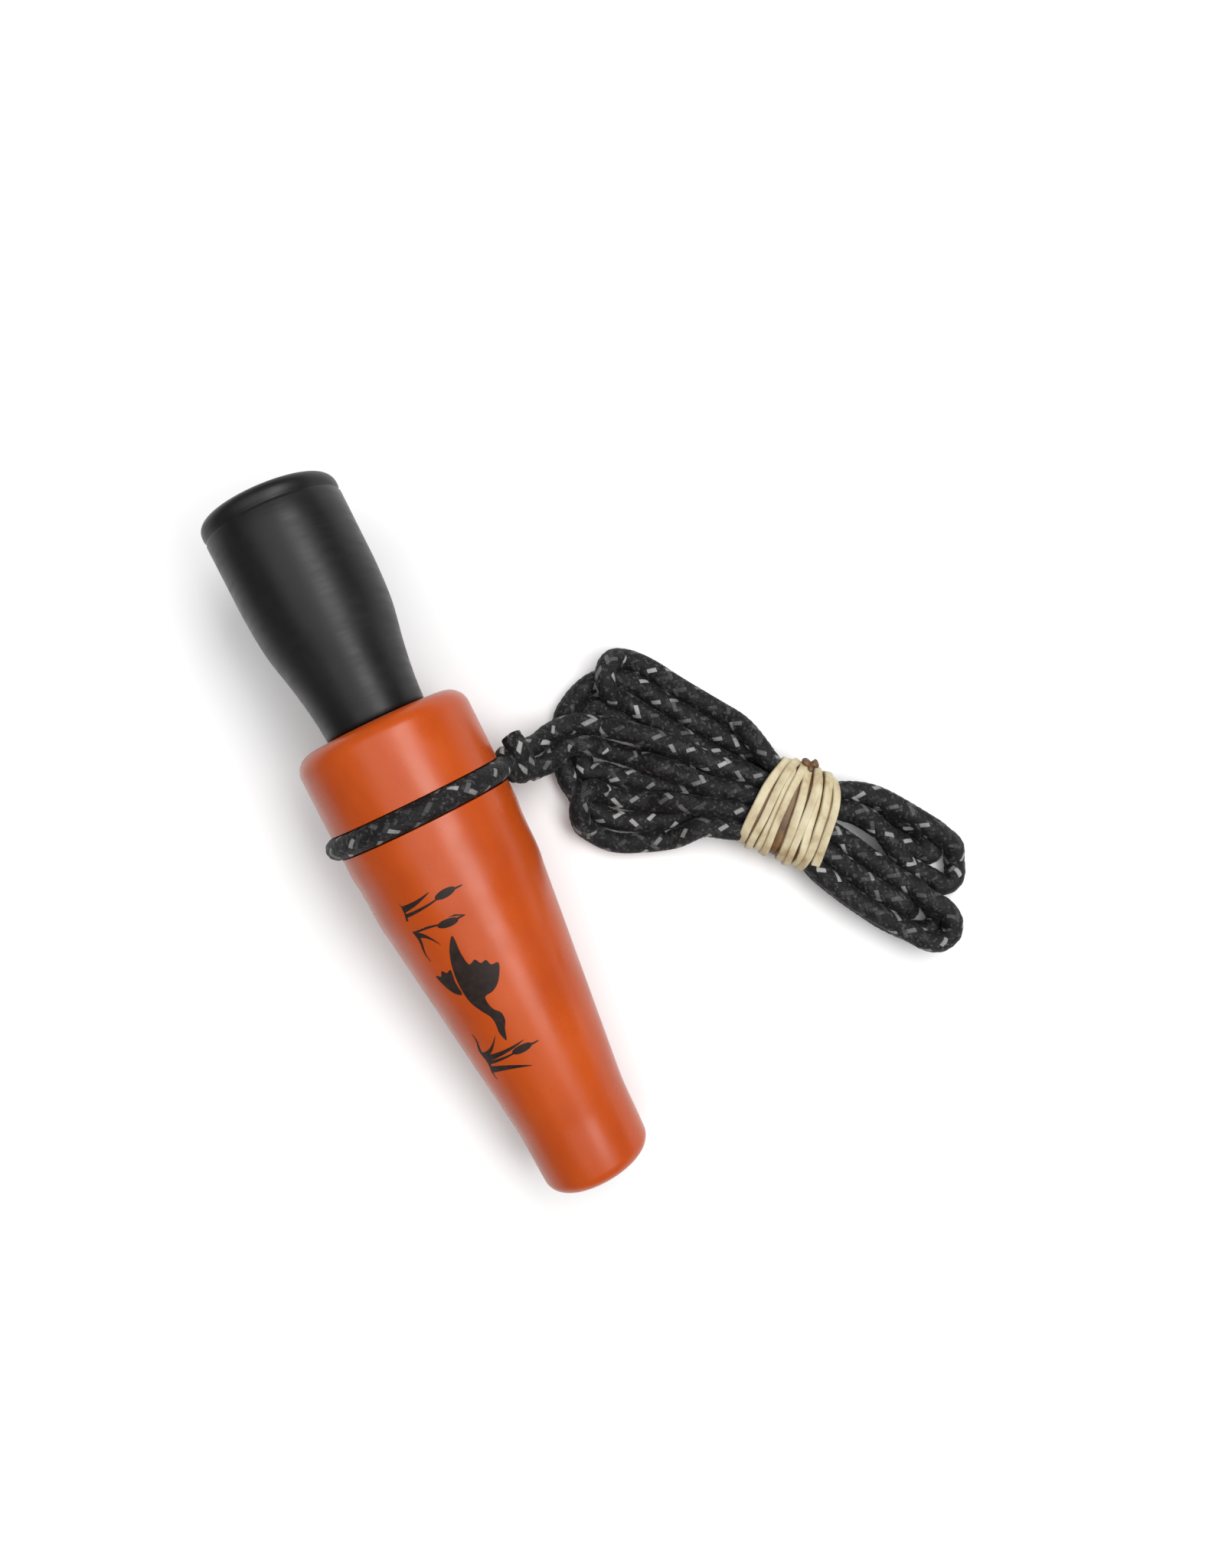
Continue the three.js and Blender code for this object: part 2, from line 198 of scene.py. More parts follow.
def ramp(tree, source, stops):
    """Colour ramp after a value, from (position, colour) stops."""
    made = node(tree, "ShaderNodeValToRGB")
    elements = made.color_ramp.elements
    while len(elements) < len(stops):
        elements.new(0.5)
    for element, (position, colour) in zip(elements, stops):
        element.position = position
        element.color = (*colour, 1)
    tree.links.new(source, made.inputs["Fac"])
    return made.outputs["Color"]


def grey(value):
    return (value, value, value)


def set_values(shader, values):
    """Plain values of the shader's own inputs."""
    for name, value in values.items():
        shader.inputs[name].default_value = value


def bump(tree, shader, height, strength, distance):
    """Fine relief from a height, its distance in metres."""
    made = node(tree, "ShaderNodeBump", {"Strength": strength, "Distance": distance})
    tree.links.new(height, made.inputs["Height"])
    tree.links.new(made.outputs["Normal"], shader.inputs["Normal"])


def colour_from(tree, shader, source, stops):
    """Base colour from a ramp after a value."""
    tree.links.new(ramp(tree, source, stops), shader.inputs["Base Color"])


def roughness_from(tree, shader, source, low, high):
    """Roughness between two values, by a noise."""
    levels = ramp(tree, source, [(0.3, grey(low)), (0.7, grey(high))])
    tree.links.new(levels, shader.inputs["Roughness"])


# ------------------------ materials


def orange_plastic():
    """Glossy moulded plastic with faint flow clouds and a trace of handling wear."""
    material, tree, shader = new_material("orange_plastic")
    clouds = mapped_noise(tree, 45, 4, (1, 2.2, 2.2))
    colour_from(tree, shader, clouds, [
        (0.30, (0.350, 0.044, 0.002)),
        (0.55, (0.400, 0.056, 0.003)),
        (0.75, (0.440, 0.066, 0.006)),
    ])
    wear = mapped_noise(tree, 160, 5)
    roughness_from(tree, shader, wear, 0.25, 0.35)
    skin = mapped_noise(tree, 140, 0)
    bump(tree, shader, skin, 0.04, 0.0001)
    set_values(shader, {
        "Specular IOR Level": 0.36,
        "Subsurface Weight": 0.08,
        "Subsurface Radius": (0.004, 0.0015, 0.0006),
        "Subsurface Scale": 0.5,
    })
    return material


def black_plastic(name, low, high, colour_low, colour_high):
    """Satin black plastic with fine marks and faint scuffs, between two roughnesses and greys."""
    material, tree, shader = new_material(name)
    scuffs = mapped_noise(tree, 60, 5, (1, 3, 3))
    colour_from(tree, shader, scuffs, [
        (0.35, grey(colour_low)),
        (0.70, grey(colour_high)),
    ])
    marks = mapped_noise(tree, 260, 4, (3, 0.5, 0.5))
    roughness_from(tree, shader, marks, low, high)
    set_values(shader, {"Specular IOR Level": 0.3})
    bump(tree, shader, marks, 0.12, 0.0003)
    return material


def maths(tree, operation, *values):
    """Math node over sockets and numbers."""
    made = tree.nodes.new("ShaderNodeMath")
    made.operation = operation
    for socket, value in zip(made.inputs, values):
        if isinstance(value, (int, float)):
            socket.default_value = value
        else:
            tree.links.new(value, socket)
    return made.outputs[0]


def pick(tree, choice, when_one, when_zero):
    """One value or the other, by a choice that is 0 or 1."""
    step = maths(tree, "MULTIPLY", maths(tree, "SUBTRACT", when_one, when_zero), choice)
    return maths(tree, "ADD", when_zero, step)


TRACER_YARNS = (2, 7, 4.5)  # yarns that are grey in places; those ending in .5 go the other way
FILAMENTS = 5  # ribs across a yarn


def braid():
    """Braided cord of black yarns with grey tracers.

    The weave layer holds how many yarns of each direction lie before a point. Each yarn goes over
    two of the others and under two, as the mesh's own relief does.
    """
    material, tree, shader = new_material("braided_cord")
    weave = node(tree, "ShaderNodeUVMap", uv_map="weave")
    split = node(tree, "ShaderNodeSeparateXYZ")
    tree.links.new(weave.outputs["UV"], split.inputs["Vector"])
    a, b = split.outputs["X"], split.outputs["Y"]
    whole_a, whole_b = maths(tree, "FLOOR", a), maths(tree, "FLOOR", b)
    place = maths(tree, "FLOORED_MODULO", maths(tree, "ADD", whole_a, whole_b), 4)
    a_on_top = maths(tree, "LESS_THAN", place, 1.5)
    part_a = maths(tree, "SUBTRACT", a, whole_a)
    part_b = maths(tree, "SUBTRACT", b, whole_b)
    across = pick(tree, a_on_top, part_a, part_b)
    yarn = pick(tree, a_on_top, whole_a, maths(tree, "ADD", whole_b, 0.5))
    steps_over = maths(tree, "FLOORED_MODULO", place, 2)
    other = maths(tree, "SUBTRACT", pick(tree, a_on_top, whole_b, whole_a), steps_over)

    carrier = maths(tree, "FLOORED_MODULO", yarn, CARRIERS)
    tracer = 0.0
    for number in TRACER_YARNS:
        tracer = maths(tree, "MAXIMUM", tracer, maths(tree, "COMPARE", carrier, number, 0.2))
    spot = node(tree, "ShaderNodeCombineXYZ")
    tree.links.new(yarn, spot.inputs["X"])
    tree.links.new(other, spot.inputs["Y"])
    chance = node(tree, "ShaderNodeTexWhiteNoise", noise_dimensions="2D")
    tree.links.new(spot.outputs["Vector"], chance.inputs["Vector"])
    draw = chance.outputs["Value"]
    pale = ramp(tree, draw, [
        (0.0, (0.020, 0.020, 0.021)),
        (0.45, (0.080, 0.080, 0.082)),
        (1.0, (0.360, 0.360, 0.350)),
    ])
    dark = ramp(tree, draw, [
        (0.0, (0.003, 0.003, 0.004)),
        (0.8, (0.009, 0.009, 0.010)),
        (1.0, (0.030, 0.030, 0.031)),
    ])
    base = node(tree, "ShaderNodeMix", data_type="RGBA")
    tree.links.new(tracer, base.inputs["Factor"])
    tree.links.new(dark, base.inputs["A"])
    tree.links.new(pale, base.inputs["B"])

    # Painted shade: each yarn darkens towards its edges, where it dips under the yarns beside it.
    from_middle = maths(tree, "ABSOLUTE", maths(tree, "SUBTRACT", across, 0.5))
    painted_crease_shade = ramp(tree, from_middle, [(0.30, grey(1.0)), (0.50, grey(0.28))])
    dust = mapped_noise(tree, 1500, 3)
    specks = ramp(tree, dust, [(0.56, grey(0.0)), (0.66, grey(0.055))])
    dusted = node(tree, "ShaderNodeMix", data_type="RGBA", blend_type="ADD")
    dusted.inputs["Factor"].default_value = 1.0
    tree.links.new(base.outputs["Result"], dusted.inputs["A"])
    tree.links.new(specks, dusted.inputs["B"])
    ribs = maths(tree, "SINE", maths(tree, "MULTIPLY", across, 2 * math.pi * FILAMENTS))
    fibres = mapped_noise(tree, 4200, 3)
    # Painted shade between the filaments of a yarn, from the ribs, with random tone from the fibre
    # noise; the same ribs also make the relief below.
    shades = maths(tree, "ADD", maths(tree, "MULTIPLY", ribs, 0.22), fibres)
    rib_shade_and_fibre_tone = ramp(tree, shades, [(0.25, grey(0.60)), (0.75, grey(1.0))])
    shaded = dusted.outputs["Result"]
    for layer in (painted_crease_shade, rib_shade_and_fibre_tone):
        mixed = node(tree, "ShaderNodeMix", data_type="RGBA", blend_type="MULTIPLY")
        mixed.inputs["Factor"].default_value = 1.0
        tree.links.new(shaded, mixed.inputs["A"])
        tree.links.new(layer, mixed.inputs["B"])
        shaded = mixed.outputs["Result"]
    tree.links.new(shaded, shader.inputs["Base Color"])
    set_values(shader, {
        "Roughness": 0.6,
        "Specular IOR Level": 0.22,
        "Sheen Weight": 0.04,
        "Sheen Roughness": 0.4,
    })
    relief = maths(tree, "ADD", maths(tree, "MULTIPLY", ribs, 0.15), fibres)
    bump(tree, shader, relief, 0.45, 0.0002)
    return material


BAND_TONES = ((0.290, 0.205, 0.105), (0.430, 0.360, 0.220), (0.540, 0.490, 0.340))
# Painted shade: darker tones for the band's turns that lie below the outer ones; the band's knot
# takes them as its own darker colour.
KNOT_AND_SHADED_TONES = ((0.060, 0.026, 0.008), (0.120, 0.060, 0.020), (0.200, 0.115, 0.045))


def rubber_band(name, tones):
    """Rubber of a band, a little translucent, with dusty paler patches."""
    material, tree, shader = new_material(name)
    patches = mapped_noise(tree, 300, 3)
    colour_from(tree, shader, patches, list(zip((0.28, 0.44, 0.70), tones)))
    roughness_from(tree, shader, patches, 0.45, 0.62)
    grain = mapped_noise(tree, 2600, 2)
    bump(tree, shader, grain, 0.25, 0.0002)
    set_values(shader, {
        "Subsurface Weight": 0.15,
        "Subsurface Radius": (0.0012, 0.0007, 0.0003),
        "Subsurface Scale": 0.6,
    })
    return material


def print_ink():
    """Pad-printed black ink, slightly uneven."""
    material, tree, shader = new_material("print_ink")
    spread = mapped_noise(tree, 900, 3)
    colour_from(tree, shader, spread, [
        (0.3, (0.010, 0.005, 0.004)),
        (0.75, (0.022, 0.012, 0.009)),
    ])
    roughness_from(tree, shader, spread, 0.42, 0.54)
    set_values(shader, {"Specular IOR Level": 0.25})
    return material


def frosted_film():
    """Frosted polyester reed: pale, slightly see-through, with fine sanding marks."""
    material, tree, shader = new_material("frosted_film")
    sanding = mapped_noise(tree, 900, 3, (0.4, 4, 4))
    colour_from(tree, shader, sanding, [
        (0.3, (0.40, 0.43, 0.42)),
        (0.7, (0.54, 0.57, 0.55)),
    ])
    roughness_from(tree, shader, sanding, 0.30, 0.46)
    set_values(shader, {"Subsurface Weight": 0.3, "Subsurface Radius": (0.001, 0.001, 0.001)})
    return material


def cork():
    """Pressed cork with dark pores."""
    material, tree, shader = new_material("cork")
    coords = node(tree, "ShaderNodeTexCoord")
    grains = node(tree, "ShaderNodeTexVoronoi", {"Scale": 1500.0})
    tree.links.new(coords.outputs["Object"], grains.inputs["Vector"])
    colour_from(tree, shader, grains.outputs["Distance"], [
        (0.00, (0.50, 0.30, 0.13)),
        (0.45, (0.42, 0.24, 0.10)),
        (0.70, (0.16, 0.08, 0.03)),
    ])
    set_values(shader, {"Roughness": 0.85})
    bump(tree, shader, grains.outputs["Distance"], 0.5, 0.0004)
    return material


def black_rubber():
    """Rubber of the O-rings, with a faint bloom."""
    material, tree, shader = new_material("black_rubber")
    bloom = mapped_noise(tree, 700, 3)
    colour_from(tree, shader, bloom, [(0.3, grey(0.010)), (0.8, grey(0.030))])
    roughness_from(tree, shader, bloom, 0.45, 0.65)
    return material


def floor_material():
    """Matt white paper."""
    material, tree, shader = new_material("pale_floor")
    tint = mapped_noise(tree, 3, 2)
    colour_from(tree, shader, tint, [(0.3, grey(0.79)), (0.7, grey(0.81))])
    set_values(shader, {"Roughness": 0.9, "Specular IOR Level": 0.0})
    return material


ORANGE = orange_plastic()
INSERT_BLACK = black_plastic("insert_black", 0.34, 0.46, 0.003, 0.008)
BOARD_BLACK = black_plastic("board_black", 0.40, 0.55, 0.020, 0.034)
BRAID = braid()
BAND_TAN = rubber_band("tan_rubber", BAND_TONES)
KNOT_AND_SHADED_RUBBER = rubber_band("knot_and_shaded_rubber", KNOT_AND_SHADED_TONES)
INK = print_ink()
REED_FILM = frosted_film()
CORK = cork()
RUBBER = black_rubber()

# ------------------------ mesh helpers


def mesh_object(name, points, faces, material, body, smooth=True):
    """New piece from points in mm, riding on a body."""
    mesh = bpy.data.meshes.new(name)
    mesh.from_pydata([tuple(float(v) * MM for v in p) for p in points], [], faces)
    mesh.update()
    mesh.polygons.foreach_set("use_smooth", [smooth] * len(mesh.polygons))
    mesh.materials.append(material)
    made = bpy.data.objects.new(name, mesh)
    bpy.context.scene.collection.objects.link(made)
    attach(made, body)
    return made


def ring_quads(rings, size, closed=False):
    """Faces between neighbouring rings of points; closed joins the last ring to the first."""
    quads = []
    for i in range(rings if closed else rings - 1):
        near, far = i * size, (i + 1) % rings * size
        for k in range(size):
            m = (k + 1) % size
            quads.append((near + k, near + m, far + m, far + k))
    return quads


def arc(u, r, radius, start, end, steps):
    """Round stretch of a profile, angles in degrees, as (u, r) points."""
    angles = [math.radians(start + (end - start) * i / steps) for i in range(steps + 1)]
    return [(u + radius * math.cos(t), r + radius * math.sin(t)) for t in angles]


def curved(points, step=0.5):
    """Smooth profile through (u, r) points, as more points along a Catmull-Rom curve."""
    fine = catmull_rom(np.array([(u, r, 0.0) for u, r in points], float), step)
    return [(float(p[0]), float(p[1])) for p in fine]


def catmull_rom(points, step):
    """Points about step apart on a centripetal Catmull-Rom curve through the given ones."""
    ends = np.vstack([2 * points[0] - points[1], points, 2 * points[-1] - points[-2]])
    out = []
    for i in range(1, len(ends) - 2):
        p0, p1, p2, p3 = ends[i - 1 : i + 3]
        knots = [0.0]
        for a, b in ((p0, p1), (p1, p2), (p2, p3)):
            knots.append(knots[-1] + max(np.linalg.norm(b - a), 1e-6) ** 0.5)
        t0, t1, t2, t3 = knots
        count = max(1, int(round(np.linalg.norm(p2 - p1) / step)))
        t = np.linspace(t1, t2, count, endpoint=False)[:, None]
        a1 = (t1 - t) / (t1 - t0) * p0 + (t - t0) / (t1 - t0) * p1
        a2 = (t2 - t) / (t2 - t1) * p1 + (t - t1) / (t2 - t1) * p2
        a3 = (t3 - t) / (t3 - t2) * p2 + (t - t2) / (t3 - t2) * p3
        b1 = (t2 - t) / (t2 - t0) * a1 + (t - t0) / (t2 - t0) * a2
        b2 = (t3 - t) / (t3 - t1) * a2 + (t - t1) / (t3 - t1) * a3
        out.append((t2 - t) / (t2 - t1) * b1 + (t - t1) / (t2 - t1) * b2)
    out.append(points[-1:])
    return np.vstack(out)


def evenly(points, step):
    """The same line with points evenly spaced, about step apart."""
    along = np.concatenate([[0], np.cumsum(np.linalg.norm(np.diff(points, axis=0), axis=1))])
    at = np.linspace(0, along[-1], int(round(along[-1] / step)) + 1)
    return np.stack([np.interp(at, along, points[:, k]) for k in range(3)], axis=1)


def lathe(name, profile, material, body, segments=176):
    """Solid of revolution about the call's axis, from a closed (u, r) profile."""
    count = len(profile)
    points = []
    for s in range(segments):
        turn = 2 * math.pi * s / segments
        for u, r in profile:
            points.append(from_call(u, r * math.sin(turn), r * math.cos(turn)))
    faces = []
    for s in range(segments):
        near, far = s * count, ((s + 1) % segments) * count
        for i in range(count):
            j = (i + 1) % count
            faces.append((near + i, far + i, far + j, near + j))
    turned = mesh_object(name, points, faces, material, body)
    turned.data.set_sharp_from_angle(angle=CREASE_ANGLE)
    return turned


# ------------------------ barrel


def barrel_radius(u):
    """Outer radius of the barrel's taper, where the print lies."""
    share = (u - BODY_START) / (TAPER_END - BODY_START)
    return BODY_RADIUS + (MOUTH_RADIUS - BODY_RADIUS) * min(max(share, 0), 1)


def make_barrel():
    """Collar with its lanyard groove, tapered body, rounded mouthpiece and bore."""
    rim = math.degrees(math.asin((COLLAR_RADIUS - LOOP_RADIUS) / GROOVE_RADIUS))
    edge = COLLAR_EDGE
    profile = arc(COLLAR_FACE + BORE_EDGE, BORE + BORE_EDGE, BORE_EDGE, 270, 180, 6)
    profile += arc(COLLAR_FACE + edge, COLLAR_RADIUS - edge, edge, 180, 90, 14)
    profile += [(u, COLLAR_RADIUS) for u in COLLAR_STATIONS]
    profile += arc(LOOP_AT, LOOP_RADIUS, GROOVE_RADIUS, 180 - rim, 360 + rim, 24)
    profile += curved([
        (GROOVE_END, COLLAR_RADIUS),
        (COLLAR_END, COLLAR_RADIUS),
        (COLLAR_END + 2.4, COLLAR_RADIUS - 0.24),
        (COLLAR_END + 5, BODY_RADIUS + 0.04),
        (BODY_START, BODY_RADIUS),
        (BODY_START + 2.2, BODY_RADIUS - 0.15),
    ], 0.8)
    taper_steps = 24
    for i in range(1, taper_steps):
        u = BODY_START + 2.2 + (TAPER_END - BODY_START - 4.2) * i / taper_steps
        profile.append((u, barrel_radius(u)))
    profile += curved([
        (TAPER_END - 1.5, barrel_radius(TAPER_END - 1.5)),
        (TAPER_END, MOUTH_RADIUS + 0.03),
        (TAPER_END + 1.5, MOUTH_RADIUS - 0.05),
        (CALL_LENGTH - 5, LIP_START_RADIUS + 0.09),
    ], 0.6)
    lip, inner = LIP_RADIUS, LIP_INNER
    profile += arc(CALL_LENGTH - lip, LIP_START_RADIUS - lip, lip, 90, 0, 12)
    profile += arc(CALL_LENGTH - inner, MOUTH_BORE + inner, inner, 0, -90, 6)
    profile += [(MOUTH_BORE_START + 8, MOUTH_BORE), (MOUTH_BORE_START, MOUTH_BORE)]
    profile += [(BORE_END, BORE), (82.0, BORE), (62.0, BORE)]
    barrel = lathe("barrel_shell", profile, ORANGE, "barrel_body")
    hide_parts("barrel")


# ------------------------ insert


def ring_groove(at):
    """Square groove in the tenon, as (u, r) points."""
    half = RING_GROOVE_WIDTH / 2
    return [
        (at - half, TENON_RADIUS),
        (at - half, RING_GROOVE_RADIUS),
        (at + half, RING_GROOVE_RADIUS),
        (at + half, TENON_RADIUS),
    ]


def make_insert():
    """Bell with its fine line, waist, grooved tenon and the flared bore through them."""
    edge = EXHAUST_EDGE
    profile = arc(edge, EXHAUST_RADIUS - edge, edge, 180, 90, 10)
    for beside, depth in ((-0.55, 0), (-0.25, 0.17), (0, BEAD_DEPTH), (0.25, 0.17), (0.55, 0)):
        profile.append((BEAD_AT + beside, EXHAUST_RADIUS - depth))
    profile.append((BELL_END / 2, EXHAUST_RADIUS))
    waist = [(BELL_END - 3, EXHAUST_RADIUS), (BELL_END, EXHAUST_RADIUS)] + INSERT_TAPER
    profile += curved(waist + [(INSERT_SHOULDER - 0.3, SHOULDER_RADIUS)], 0.7)
    profile.append((INSERT_SHOULDER - 0.08, SHOULDER_RADIUS - 0.1))
    profile += [(INSERT_SHOULDER, SHOULDER_RADIUS - 0.3), (INSERT_SHOULDER, TENON_RADIUS)]
    for at in RINGS.values():
        profile += ring_groove(at)
    profile += [(TENON_END - TENON_EDGE, TENON_RADIUS), (TENON_END, TENON_RADIUS - TENON_EDGE)]
    profile += [(TENON_END, TENON_BORE), (52.0, TENON_BORE), (43.0, TENON_BORE)]
    profile += curved([(42.0, TENON_BORE)] + EXHAUST_FLARE, 1.0) + EXHAUST_LIP
    insert = lathe("insert_shell", profile, INSERT_BLACK, "insert_body", 160)
    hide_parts("insert")


def make_rings():
    """The two O-rings, a little proud of the tenon."""
    for name, at in RINGS.items():
        section = arc(at, RING_RADIUS, RING_SECTION, 345, 0, 23)
        ring = lathe(f"{name}_seal", section, RUBBER, "insert_carriage", 96)
        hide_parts(name)


# ------------------------ braided cord

BRAID_PITCH = 13.5  # mm of cord for a yarn to go once round
BRAID_RELIEF = 0.2
AROUND = 40  # points round the cord
RING_STEP = 0.36  # mm between rings of points


def frames_along(line):
    """Normal and binormal at each point, turned as little as possible."""
    tangents = np.gradient(line, axis=0)
    tangents /= np.linalg.norm(tangents, axis=1)[:, None]
    first = np.cross(tangents[0], (0.3, 0.1, 1.0))
    normals = [first / np.linalg.norm(first)]
    for t in tangents[1:]:
        n = normals[-1] - t * np.dot(normals[-1], t)
        normals.append(n / np.linalg.norm(n))
    normals = np.array(normals)
    return normals, np.cross(tangents, normals)


def braid_height(a, b):
    """Relief of the braid, 0 to 1, where a and b count the yarns of each direction."""
    whole_a, whole_b = np.floor(a), np.floor(b)
    place = np.mod(whole_a + whole_b, 4)
    a_on_top = place < 2
    part_a, part_b = a - whole_a, b - whole_b
    across = np.where(a_on_top, part_a, part_b) - 0.5
    along = (np.mod(place, 2) + np.where(a_on_top, part_b, part_a)) / 2
    crown = np.sqrt(np.clip(1 - (1.9 * across) ** 2, 0, 1))
    return crown * (0.55 + 0.45 * np.sin(math.pi * along))


def braid_tube(name, line, squeeze=None):
    """Cord of round section along a line in mm, with braided relief and closed ends."""
    line = evenly(line, RING_STEP)
    along = np.concatenate([[0], np.cumsum(np.linalg.norm(np.diff(line, axis=0), axis=1))])
    normals, binormals = frames_along(line)
    turn = np.arange(AROUND + 1) / AROUND
    climb = CARRIERS * along / BRAID_PITCH
    a = CARRIERS * turn[None, :] + climb[:, None]
    b = CARRIERS * turn[None, :] - climb[:, None]
    radius = np.full(len(line), CORD_RADIUS)
    if squeeze is not None:
        radius = radius * squeeze(line)
    r = radius[:, None] - BRAID_RELIEF * (1 - braid_height(a, b)[:, :-1])
    theta = 2 * math.pi * turn[:-1]
    ring = normals[:, None, :] * np.cos(theta)[None, :, None]
    ring = ring + binormals[:, None, :] * np.sin(theta)[None, :, None]
    points = line[:, None, :] + ring * r[:, :, None]
    rings = len(line)
    faces = ring_quads(rings, AROUND)
    weave = []
    for i in range(rings - 1):
        for k in range(AROUND):
            for ring_at, column in ((i, k), (i, k + 1), (i + 1, k + 1), (i + 1, k)):
                weave.append((a[ring_at, column], b[ring_at, column]))
    for ring_at, order in ((0, range(AROUND - 1, -1, -1)), (rings - 1, range(AROUND))):
        faces.append(tuple(ring_at * AROUND + k for k in order))
        weave += [(a[ring_at, k], b[ring_at, k]) for k in order]
    made = mesh_object(name, points.reshape(-1, 3), faces, BRAID, "barrel_body")
    layer = made.data.uv_layers.new(name="weave")
    layer.data.foreach_set("uv", np.array(weave, np.float32).reshape(-1))
    return made, line


# The lanyard's route through the hank, in hank coordinates: each list is one fold, and the cord
# goes under the band between one fold and the next.
LEAD_IN = [
    (-44.5, -0.4, 6.2), (-38.0, 1.6, 6.0), (-30.0, 2.6, 5.6), (-21.0, 2.9, 5.8), (-12.0, 2.9, 6.1),
]
UPPER_RIGHT_TOP = [
    (10.0, 4.7, 6.0), (15.0, 4.1, 6.05), (20.5, 1.6, 6.05), (25.5, -1.5, 6.05), (31.0, -2.7, 6.0),
    (34.3, 0.2, 5.9), (31.8, 4.4, 6.0), (26.5, 6.7, 6.05), (19.0, 8.1, 6.05), (12.0, 8.7, 6.0),
]
UPPER_LEFT = [
    (-12.0, 9.3, 5.2), (-21.0, 12.3, 3.9), (-30.0, 14.0, 2.3), (-36.5, 14.9, 2.6),
    (-40.8, 14.8, 4.0), (-43.0, 11.6, 5.8), (-41.4, 7.7, 5.9), (-36.5, 6.2, 4.6),
    (-30.0, 5.8, 2.2), (-21.0, 4.9, 2.05), (-12.0, 3.7, 2.1),
]
UPPER_RIGHT_UNDER = [
    (10.0, 4.9, 2.1), (16.0, 4.1, 2.05), (21.5, 2.3, 2.05), (26.0, 1.3, 2.05),
    (28.3, 3.6, 2.05), (26.0, 5.8, 2.05), (19.0, 6.9, 2.05), (12.0, 7.8, 2.1),
]
OUTER_BIGHT = [
    (-12.0, 7.0, 2.1), (-21.0, 8.8, 2.05), (-30.0, 10.1, 2.05), (-37.0, 11.4, 2.05),
    (-42.6, 10.0, 2.05), (-45.7, 5.4, 2.05), (-46.4, -0.6, 2.05), (-44.4, -6.4, 2.05),
    (-40.2, -10.9, 2.05), (-35.6, -14.1, 2.05), (-30.0, -14.4, 2.05), (-24.0, -11.9, 2.05),
    (-17.0, -8.3, 2.05), (-11.0, -6.4, 2.1),
]
LOWER_RIGHT_UNDER = [
    (10.0, -8.2, 2.1), (15.0, -9.9, 2.05), (22.0, -11.2, 2.05), (29.5, -11.9, 2.05),
    (33.6, -10.9, 2.05), (34.2, -7.9, 2.05), (31.5, -5.9, 2.05), (26.0, -5.0, 2.05),
    (20.0, -3.9, 2.05), (14.0, -2.6, 2.05), (10.0, -1.9, 2.1),
]
INNER_BIGHT = [
    (-12.0, 0.2, 2.1), (-21.0, 0.9, 2.05), (-30.0, 1.9, 2.05), (-36.0, 3.8, 2.05),
    (-41.0, 5.0, 2.05), (-42.8, 0.6, 2.05), (-41.2, -4.4, 2.05), (-38.0, -8.4, 2.05),
    (-33.8, -7.6, 2.05), (-29.0, -5.0, 2.05), (-21.0, -3.9, 2.05), (-12.0, -3.2, 2.1),
]
LOWER_RIGHT_MIDDLE = [
    (10.0, -4.4, 2.1), (15.0, -5.9, 2.05), (21.0, -7.3, 2.05), (25.6, -7.6, 2.2), (28.8, -7.3, 4.1),
    (25.8, -6.9, 6.0), (21.0, -7.0, 6.05), (15.0, -5.7, 6.05), (10.0, -4.2, 6.0),
]
LOWER_LEFT = [
    (-12.0, -4.2, 5.9), (-21.0, -7.3, 4.6), (-30.0, -9.9, 2.6), (-34.5, -10.0, 4.0),
    (-37.4, -10.6, 5.9), (-37.6, -13.8, 5.6), (-34.8, -17.1, 3.6), (-30.0, -18.6, 2.3),
    (-24.2, -16.6, 2.1), (-18.0, -10.9, 3.4), (-11.5, -6.3, 5.4),
]
LOWER_RIGHT_TOP = [
    (10.0, -8.4, 6.0), (15.0, -10.1, 6.05), (22.0, -11.5, 6.05), (29.5, -12.3, 6.0),
    (34.6, -12.3, 5.9), (36.6, -9.2, 5.9), (34.2, -6.0, 6.0), (28.5, -5.3, 6.05),
    (22.0, -4.1, 6.05), (15.0, -2.8, 6.05), (10.0, -2.0, 6.0),
]
LEAD_OUT = [
    (-12.0, -0.9, 6.1), (-21.0, -1.7, 5.8), (-30.0, -1.8, 5.6), (-38.0, -2.8, 6.0),
    (-44.5, -4.4, 6.2),
]
# Folds in the order the cord takes them, each with the column and layer of the band it comes from.
HANK_ROUTE = [
    (UPPER_RIGHT_TOP, 1, BAND_HIGH),
    (UPPER_LEFT, 2, BAND_HIGH),
    (UPPER_RIGHT_UNDER, 1, BAND_LOW),
    (OUTER_BIGHT, 2, BAND_LOW),
    (LOWER_RIGHT_UNDER, -2, BAND_LOW),
    (INNER_BIGHT, 0, BAND_LOW),
    (LOWER_RIGHT_MIDDLE, -1, BAND_LOW),
    (LOWER_LEFT, -1, BAND_HIGH),
    (LOWER_RIGHT_TOP, -2, BAND_HIGH),
    (LEAD_OUT, 0, BAND_HIGH),
]
# The two leads from the knot down to the hank, in row coordinates. The lanyard starts with the first
# and ends with the second, run backwards.
LEAD_A = [(-8.75, 19.6, 9.1), (-8.75, 21.9, 8.3), (-8.9, 23.8, 7.5), (-9.2, 25.5, 6.9)]
LEAD_B = [(-4.65, 19.6, 9.1), (-4.65, 21.9, 8.3), (-4.6, 22.6, 8.0), (-4.55, 23.3, 7.65)]

